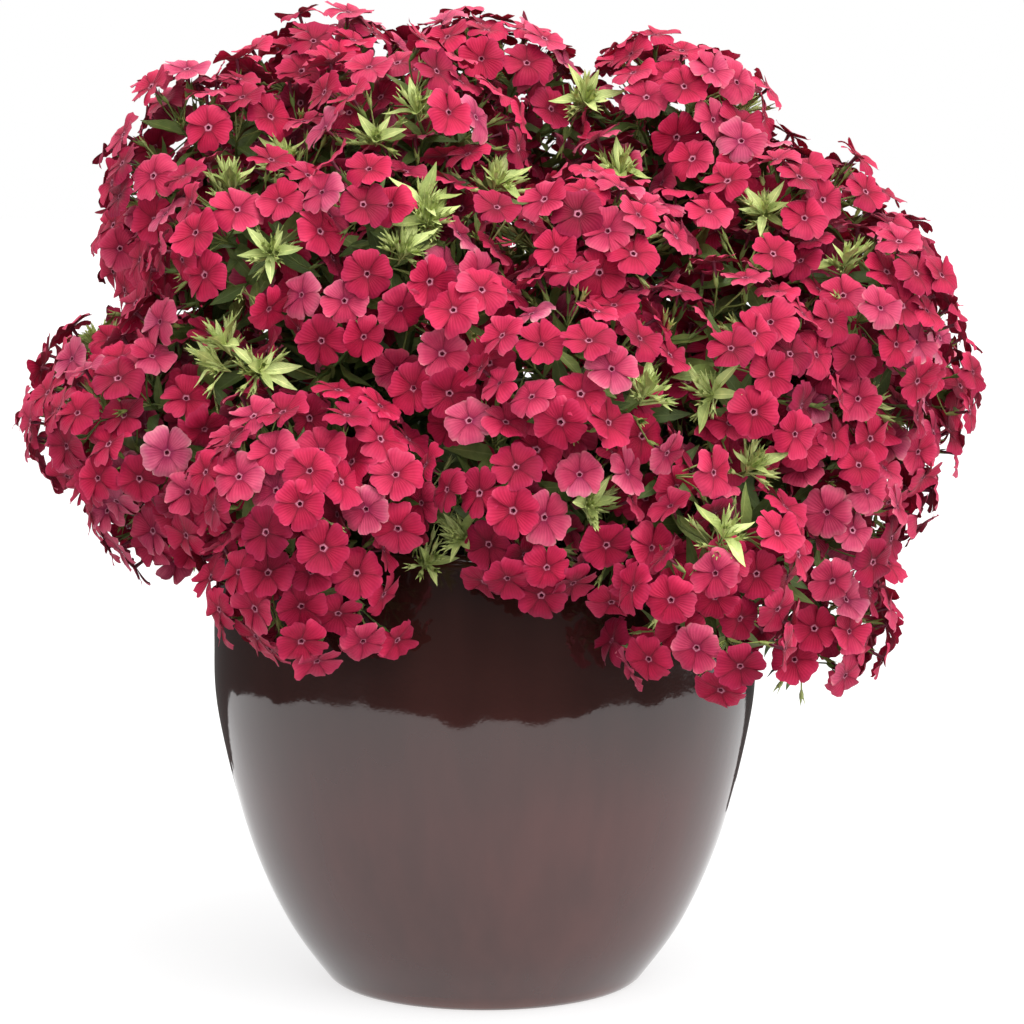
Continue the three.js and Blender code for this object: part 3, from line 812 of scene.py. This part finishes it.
class Stem:
    """One stem of the plant: a trunk out of the soil, its branches and all that they carry."""

    def __init__(self, node):
        self.node = node
        self.foot = foot_of(node)
        outward = unit(self.foot * np.array([1.0, 1.0, 0.0]))
        rise = self.foot + STEM["rise"] * UP
        fork = outward * STEM["fork_ring"] + UP * STEM["fork_height"]
        spring = rise + STEM["spring"] * UP
        self.trunk = bezier(self.foot, rise, spring, fork, 2 * STEM["steps"])
        self.pieces = [tube(self.trunk, (STEM["foot_radius"], STEM["fork_radius"]), STEM["sides"])]
        self.pieces += leaf_pairs(self.trunk, "trunk")

    def branch_to(self, hub, outward):
        """Adds a leafy branch that ends in the middle of a head."""
        share = rng.uniform(*STEM["forks"])
        start = self.trunk[int(share * (len(self.trunk) - 1))]
        rising = unit(self.trunk[-1] - self.trunk[-3])
        leaving, arriving = np.array(STEM["branch_bends"]) * np.linalg.norm(hub - start)
        bends = start + leaving * rising, hub - arriving * outward
        path = bezier(start, *bends, hub, STEM["steps"])
        self.pieces.append(tube(path, STEM["branch_radii"], STEM["sides"]))
        self.pieces += leaf_pairs(path, "branch")

    def carry(self, hub, bunch):
        """Adds the twig to a bunch, and the stalks and calyxes of the bunch's florets."""
        end = bunch.middle
        leaving, arriving = STEM["twig_bends"]
        bends = hub + (end - hub) * leaving, end - arriving * bunch.out
        path = bezier(hub, *bends, end, STEM["twig_steps"])
        self.pieces.append(tube(path, STEM["twig_radii"], STEM["twig_sides"]))
        if not bunch.florets:
            return
        self.pieces += leaf_pairs(path, "twig")
        for _ in range(SPENT["count"]):
            along = unit(bunch.out + SPENT["lean"] * rng.normal(size=3))
            reach = rng.uniform(*SPENT["reach"])
            self.pieces.append(calyx_on_stalk(end, along, reach, rng.uniform(*SPENT["tones"])))
        for place, facing in bunch.florets:
            self.pieces += self.stalk_and_calyx(bunch, place, facing)

    def stalk_and_calyx(self, bunch, place, facing):
        """What holds one floret, from the middle of its bunch."""
        end = bunch.middle
        foot = place + facing * CALYX["bottom"]
        leaving, arriving = STEM["stalk_bends"]
        bend = end + leaving * np.linalg.norm(foot - end) * bunch.out
        path = bezier(end, bend, foot - arriving * facing, foot, STEM["stalk_steps"])
        tone = rng.uniform(*CALYX["tones"])
        stalk = tube(path, STEM["stalk_radii"], STEM["stalk_sides"], tone)
        return [stalk, CALYX_SHAPE.placed(axes_about(facing), place, tone=tone)]


def nearest_stem(stems, place):
    """The stem whose foot is closest to a place by bearing."""
    bearing = math.atan2(place[1], place[0])
    return max(stems, key=lambda s: math.cos(math.atan2(s.foot[1], s.foot[0]) - bearing))


def make_foliage(heads, sprigs, material):
    """Every stem with its leaves, its branches to the heads, and the sprigs between them."""
    stems = [Stem(node) for node in nodes_called("leafy_stem")]
    carriers = {}
    for node, bunches in heads.items():
        outward = unit(sum(bunch.out for bunch in bunches))
        hub = np.mean([bunch.middle for bunch in bunches], axis=0) - STEM["hub_depth"] * outward
        stem = nearest_stem(stems, hub)
        stem.branch_to(hub, outward)
        for bunch in bunches:
            stem.carry(hub, bunch)
        carriers[node] = stem
    for place, out, bunch in sprigs:
        tuft = sprig(bunch.middle, place - SPRIG["depth"] * out, out)
        carriers[bunch.head].pieces.append(tuft)
    for stem in stems:
        name = stem.node.replace("leafy_stem", "foliage")
        dress(object_of(name, stacked(stem.pieces), [material]), stem.node)


# -------- pot


def rounded(points, steps):
    """A smooth curve through points."""
    points = np.asarray(points, float)
    padded = np.vstack([points[0], points, points[-1]])
    curve = []
    for a, b, c, d in zip(padded, padded[1:], padded[2:], padded[3:]):
        leave, arrive = (c - a) / 2, (d - b) / 2
        for t in np.linspace(0, 1, steps, endpoint=False):
            cubic = 2 * (b - c) + leave + arrive
            square = 3 * (c - b) - 2 * leave - arrive
            curve.append(cubic * t**3 + square * t**2 + leave * t + b)
    return [tuple(point) for point in [*curve, points[-1]]]


def pot_profile():
    """Radius and height from the middle of the base, up the wall, over the lip and down inside."""
    wall = rounded(POT["outline"], POT["smooth_steps"])
    rim_radius, rim_height = wall[-1]
    half = POT["wall"] / 2
    rise = POT["height"] - rim_height
    lip = [
        (rim_radius - half + half * math.cos(a), rim_height + rise * math.sin(a))
        for a in np.linspace(0, math.pi, POT["lip_steps"])[1:-1]
    ]
    inner = [(r - POT["wall"], z) for r, z in reversed(wall) if z > POT["floor"]]
    foot = POT["foot"]
    base = [(AXIS_RADIUS, 0), (wall[0][0] - 2 * foot, 0), (wall[0][0] - foot / 2, foot / 3)]
    floor = [(inner[-1][0] - 2 * foot, POT["floor"]), (AXIS_RADIUS, POT["floor"])]
    return base + wall[1:] + lip + inner + floor


def drain_cutter(k):
    """A cylinder that cuts one drain hole through the pot's floor."""
    angle = 2 * math.pi * k / POT["drains"]
    low, high = -POT["floor"], 2 * POT["floor"]
    radius = POT["drain_radius"]
    profile = ((AXIS_RADIUS, low), (radius, low), (radius, high), (AXIS_RADIUS, high))
    cutter = revolved(profile, POT["drain_sides"])
    cutter.points += POT["drain_ring"] * np.array([math.cos(angle), math.sin(angle), 0.0])
    return object_of(f"drain_cutter_{k}", cutter, [])


def make_pot(glaze):
    """The glazed pot with its drain holes."""
    pot = object_of("pot_glazed", revolved(pot_profile(), POT["segments"]), [glaze])
    cutters = [drain_cutter(k) for k in range(POT["drains"])]
    for cutter in cutters:
        cut = pot.modifiers.new(cutter.name, "BOOLEAN")
        cut.object = cutter
        cut.operation = "DIFFERENCE"
        cut.solver = "EXACT"
    shape = pot.evaluated_get(bpy.context.evaluated_depsgraph_get())
    pot.data = bpy.data.meshes.new_from_object(shape)
    pot.modifiers.clear()
    for cutter in cutters:
        bpy.data.objects.remove(cutter)
    dress(pot, "pot")


# -------- materials


def set_stops(ramp, stops):
    """Gives a colour ramp its stops, each a position and a colour."""
    ramp.elements.remove(ramp.elements[1])
    ramp.elements[0].position, ramp.elements[0].color = stops[0][0], (*stops[0][1], 1)
    for position, colour in stops[1:]:
        ramp.elements.new(position).color = (*colour, 1)


class Nodes:
    """A material's node tree with short calls to add nodes and join them."""

    def __init__(self, name):
        self.material = bpy.data.materials.new(name)
        self.material.use_nodes = True
        self.tree = self.material.node_tree
        self.shader = self.tree.nodes["Principled BSDF"]

    def add(self, kind, **settings):
        node = self.tree.nodes.new(kind)
        for key, value in settings.items():
            setattr(node, key, value)
        return node

    def put(self, value, target):
        """Sets an input to a number or a colour, or links an output to it."""
        if isinstance(value, bpy.types.NodeSocket):
            self.tree.links.new(value, target)
        elif isinstance(value, tuple):
            target.default_value = (*value, 1)
        else:
            target.default_value = value

    def finish(self, **values):
        """Sets the shader's inputs, named with underscores, and returns the material."""
        for key, value in values.items():
            self.put(value, self.shader.inputs[key.replace("_", " ")])
        return self.material

    def noise(self, vector, scale, detail=2.0):
        node = self.add("ShaderNodeTexNoise")
        node.inputs["Scale"].default_value = scale
        node.inputs["Detail"].default_value = detail
        self.put(vector, node.inputs["Vector"])
        return node.outputs["Fac"]

    def ramp(self, value, stops):
        node = self.add("ShaderNodeValToRGB")
        set_stops(node.color_ramp, stops)
        self.put(value, node.inputs["Fac"])
        return node.outputs["Color"]

    def math(self, operation, a, b=0.0):
        node = self.add("ShaderNodeMath", operation=operation)
        self.put(a, node.inputs[0])
        self.put(b, node.inputs[1])
        return node.outputs["Value"]

    def mix(self, share, a, b, blend="MIX"):
        node = self.add("ShaderNodeMix", data_type="RGBA", blend_type=blend)
        for value, name in ((share, "Factor_Float"), (a, "A_Color"), (b, "B_Color")):
            target = next(socket for socket in node.inputs if socket.identifier == name)
            self.put(value, target)
        return next(out for out in node.outputs if out.identifier == "Result_Color")

    def times(self, a, b, share=1.0):
        return self.mix(share, a, b, "MULTIPLY")

    def bump(self, height, strength, distance):
        node = self.add("ShaderNodeBump")
        node.inputs["Strength"].default_value = strength
        node.inputs["Distance"].default_value = distance
        self.put(height, node.inputs["Height"])
        return node.outputs["Normal"]

    def split(self, vector):
        node = self.add("ShaderNodeSeparateXYZ")
        self.put(vector, node.inputs[0])
        return node.outputs["X"], node.outputs["Y"], node.outputs["Z"]

    def place(self):
        return self.add("ShaderNodeTexCoord").outputs["Object"]

    def tone(self):
        return self.add("ShaderNodeAttribute", attribute_name="tone").outputs["Fac"]

    def pattern(self):
        """The two coordinates of the map that goes with each surface."""
        return self.split(self.add("ShaderNodeUVMap", uv_map="pattern").outputs["UV"])[:2]

    def off_middle(self, across):
        """0 at the middle of a surface and 0.5 at its sides."""
        return self.math("ABSOLUTE", self.math("SUBTRACT", across, 0.5))


def petal_material():
    """Velvety crimson, deeper at the base, with fine veins, a faint pale eye and painted shade in
    the seams between petals near the eye.
    """
    look = Nodes("petals")
    across, along = look.pattern()
    side = look.off_middle(across)
    body = look.times(look.ramp(along, PETAL_BODY), look.ramp(look.tone(), PETAL_TONES))
    blotch = look.noise(look.place(), *PETAL["blotches"])
    body = look.times(body, look.ramp(blotch, PETAL_BLOTCHES), PETAL["blotch_share"])
    waves = look.math("SINE", look.math("MULTIPLY", across, PETAL["vein_waves"]))
    fade = look.math("MULTIPLY", along, PETAL["vein_fade"])
    height = look.math("SUBTRACT", PETAL["vein_height"], fade)
    veins = look.math("ADD", look.math("MULTIPLY", waves, height), 0.5)
    body = look.times(body, look.ramp(veins, PETAL_VEINS), PETAL["vein_share"])
    outer = look.ramp(along, PETAL_OUTER)
    # painted shade: the petals' sides are darkened near the eye, where they part
    seam_shade, rim = look.ramp(side, PETAL_SEAM_SHADE), look.ramp(side, PETAL_RIM)
    body = look.times(body, look.mix(outer, seam_shade, rim))
    reach = look.math("ADD", along, look.math("MULTIPLY", blotch, PETAL["ragged"]))
    body = look.mix(look.ramp(reach, PETAL_INNER), body, PETAL_EYE)
    return look.finish(
        Base_Color=body,
        Roughness=PETAL["roughness"],
        Specular_IOR_Level=PETAL["specular"],
        Sheen_Weight=PETAL["sheen"],
        Sheen_Roughness=PETAL["sheen_roughness"],
        Sheen_Tint=PETAL["sheen_tint"],
        Normal=look.bump(veins, *PETAL["relief"]),
    )


def throat_material():
    """The dark throat and the tube behind it."""
    look = Nodes("throat")
    spots = look.noise(look.place(), THROAT["spots"])
    return look.finish(Base_Color=look.ramp(spots, THROAT_BODY), Roughness=THROAT["roughness"])


def foliage_material():
    """Green from deep to pale by tone, which carries painted shade deep inside the mound and
    painted light at its surface, with a pale midrib and soft mottling.
    """
    look = Nodes("foliage")
    across, along = look.pattern()
    place = look.place()
    side = look.off_middle(across)
    body = look.times(look.ramp(look.tone(), GREENS_AND_PAINTED_SHADE), look.ramp(side, LEAF_RIB))
    mottle = look.ramp(look.noise(place, GREEN["mottle"]), LEAF_MOTTLE)
    body = look.times(body, mottle, GREEN["mottle_share"])
    forward = look.math("MULTIPLY", along, GREEN["vein_waves"])
    waves = look.math("ADD", forward, look.math("MULTIPLY", side, GREEN["vein_slant"]))
    veins = look.math("MULTIPLY", look.math("SINE", waves), GREEN["vein_height"])
    return look.finish(
        Base_Color=body,
        Roughness=GREEN["roughness"],
        Specular_IOR_Level=GREEN["specular"],
        Normal=look.bump(veins, *GREEN["relief"]),
    )


def glaze_material():
    """Dark brown glaze with painted shade darkening its upper part under the flowers, red-brown
    where it thins at foot and lip, bare clay underneath.
    """
    look = Nodes("glaze")
    place = look.place()
    scale, rise = GLAZE["wobble"]
    wobble = look.math("MULTIPLY", look.math("SUBTRACT", look.noise(place, scale), 0.5), rise)
    level = look.math("ADD", look.split(place)[2], wobble)
    # painted shade: the glaze darkens from 0.7 of the pot's height up to just under the lip, where
    # the flowers overhang it
    body = look.ramp(look.math("DIVIDE", level, POT["height"] * MM), GLAZE_BODY_AND_SHADE)
    body = look.times(body, look.ramp(look.noise(place, *GLAZE["clouds"]), GLAZE_CLOUDS))
    drawn = look.add("ShaderNodeVectorMath", operation="MULTIPLY")
    look.put(place, drawn.inputs[0])
    drawn.inputs[1].default_value = GLAZE["streaks"]
    body = look.times(body, look.ramp(look.noise(drawn.outputs["Vector"], 1.0), GLAZE_STREAKS))
    facing = look.split(look.add("ShaderNodeNewGeometry").outputs["Normal"])[2]
    under = look.math("LESS_THAN", facing, GLAZE["under"])
    shine = look.ramp(look.noise(place, GLAZE["shine"]), GLAZE_SHINE)
    scale, height = GLAZE["ripples"]
    ripples = look.math("MULTIPLY", look.noise(place, scale), height)
    relief = look.math("ADD", look.noise(place, *GLAZE["waves"]), ripples)
    return look.finish(
        Base_Color=look.mix(under, body, CLAY),
        Roughness=look.mix(under, shine, GLAZE["clay_roughness"]),
        IOR=GLAZE["ior"],
        Normal=look.bump(relief, *GLAZE["relief"]),
    )


def soil_material():
    """Dark crumbly potting mix with pale grains."""
    look = Nodes("soil")
    place = look.place()
    crumbs = look.noise(place, *SOIL["crumbs"])
    grains = look.add("ShaderNodeTexVoronoi")
    grains.inputs["Scale"].default_value = SOIL["grains"]
    look.put(place, grains.inputs["Vector"])
    pale = look.ramp(grains.outputs["Distance"], SOIL_GRAINS)
    return look.finish(
        Base_Color=look.mix(pale, look.ramp(crumbs, SOIL_BODY), PERLITE),
        Roughness=SOIL["roughness"],
        Normal=look.bump(crumbs, *SOIL["relief"]),
    )


def dress_soil():
    """Gives the CAD soil its material."""
    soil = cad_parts["soil"]
    soil.data.materials.clear()
    soil.data.materials.append(soil_material())


# -------- stage, camera and light


def stage_piece(name, surface, colour, glow):
    """Something of the studio, not of the plant."""
    look = Nodes(name)
    material = look.finish(
        Base_Color=colour,
        Roughness=STUDIO["roughness"],
        Specular_IOR_Level=0.0,
        Emission_Color=WHITE,
        Emission_Strength=glow,
    )
    material.cycles.emission_sampling = "NONE"
    piece = object_of(name, surface, [material])
    return piece


def add_floor():
    """A wide pale floor. The world lights the plant from below in its place."""
    reach = STUDIO["floor"]
    x, y = np.meshgrid([-reach, reach], [-reach, reach])
    sheet = grid(np.stack([x, y, 0 * x], axis=-1))
    shade = STUDIO["floor_colour"]
    floor = stage_piece("floor", sheet, (shade, shade, shade), STUDIO["floor_glow"])
    floor.visible_diffuse = False


def add_backdrop():
    """A white dome that only the camera sees, so that it doesn't light the plant."""
    radius, cap = STUDIO["dome"], STUDIO["dome_cap"]
    turns = np.linspace(-math.pi / 2, math.pi / 2, STUDIO["dome_steps"])
    profile = [(radius * math.cos(a) + cap, radius * math.sin(a)) for a in turns]
    dome = stage_piece("backdrop", revolved(profile, STUDIO["dome_steps"]), BLACK, 1.0)
    dome.visible_diffuse = False
    dome.visible_glossy = False
    dome.visible_shadow = False


def add_dark_cards():
    """Dark cards beyond the bright part of the floor, which only reflections show."""
    turns = np.linspace(0, 2 * math.pi, STUDIO["card_steps"], endpoint=False)
    bearings = (np.degrees(turns) + 270) % 360 - 180  # 0 towards the camera
    inner = np.interp(bearings, *zip(*STUDIO["bright"]))
    for count, phase, size in STUDIO["ripples"]:
        inner = inner + size * np.sin(count * turns + phase)
    ring, lift = np.full(len(turns), STUDIO["card_ring"]), STUDIO["card_lift"]
    rows = [
        np.column_stack([reach * np.cos(turns), reach * np.sin(turns), np.full(len(turns), height)])
        for reach, height in ((inner, lift), (ring, lift), (ring, STUDIO["card_top"]))
    ]
    surface = grid(np.array(rows), closed=True)
    cards = stage_piece("dark_cards", surface, STUDIO["card_colour"], STUDIO["card_glow"])
    cards.visible_camera = False
    cards.visible_diffuse = False
    cards.visible_shadow = False


def add_camera():
    """The camera, at the photograph's viewing angle."""
    data = bpy.data.cameras.new("camera")
    data.lens = CAMERA["lens"]
    data.sensor_width = CAMERA["sensor"]
    data.clip_end = CAMERA["far"]
    camera = bpy.data.objects.new("camera", data)
    camera.location = Vector(CAMERA["place"]) * MM
    camera.rotation_euler = (math.radians(90 - CAMERA["pitch"]), 0, 0)
    bpy.context.scene.collection.objects.link(camera)
    bpy.context.scene.camera = camera


def add_sun(name, direction, strength, spread):
    """A wide soft light from a direction."""
    data = bpy.data.lights.new(name, "SUN")
    data.energy = strength
    data.angle = math.radians(spread)
    light = bpy.data.objects.new(name, data)
    light.rotation_euler = (-Vector(direction)).to_track_quat("-Z", "Y").to_euler()
    bpy.context.scene.collection.objects.link(light)


def add_sky():
    """Soft studio light: strong from above, less from the sides and from the floor."""
    world = bpy.data.worlds.new("studio")
    world.use_nodes = True
    nodes, links = world.node_tree.nodes, world.node_tree.links
    split = nodes.new("ShaderNodeSeparateXYZ")
    links.new(nodes.new("ShaderNodeTexCoord").outputs["Generated"], split.inputs[0])
    level = nodes.new("ShaderNodeMapRange")
    level.inputs["From Min"].default_value = -1
    links.new(split.outputs["Z"], level.inputs["Value"])
    ramp = nodes.new("ShaderNodeValToRGB")
    set_stops(ramp.color_ramp, [(height, (light, light, light)) for height, light in STUDIO["sky"]])
    links.new(level.outputs["Result"], ramp.inputs["Fac"])
    links.new(ramp.outputs["Color"], nodes["Background"].inputs["Color"])
    bpy.context.scene.world = world


def make_studio():
    add_floor()
    add_backdrop()
    add_dark_cards()
    add_camera()
    add_sky()
    for name, sun in SUNS.items():
        add_sun(name, *sun)
    bpy.context.scene.view_settings.view_transform = "Standard"


# -------- the whole plant


def make_plant():
    """Florets, stems and leaves over the CAD flower heads and stems."""
    names = nodes_called("flower_head")
    bunches = [Bunch(node, *place) for node in names for place in bunch_places(node)]
    bunches += bunches_between(bunches)
    sprigs = sprig_spots(bunches)
    fill_bunches(bunches, np.array([place for place, _, _ in sprigs]))
    heads = {node: [bunch for bunch in bunches if bunch.head == node] for node in names}
    shapes = [floret() for _ in range(FLORET["variants"])]
    materials = [petal_material(), throat_material()]
    for node, own in heads.items():
        make_blooms(node, own, shapes, materials)
    make_foliage(heads, sprigs, foliage_material())


make_plant()
make_pot(glaze_material())
dress_soil()
make_studio()
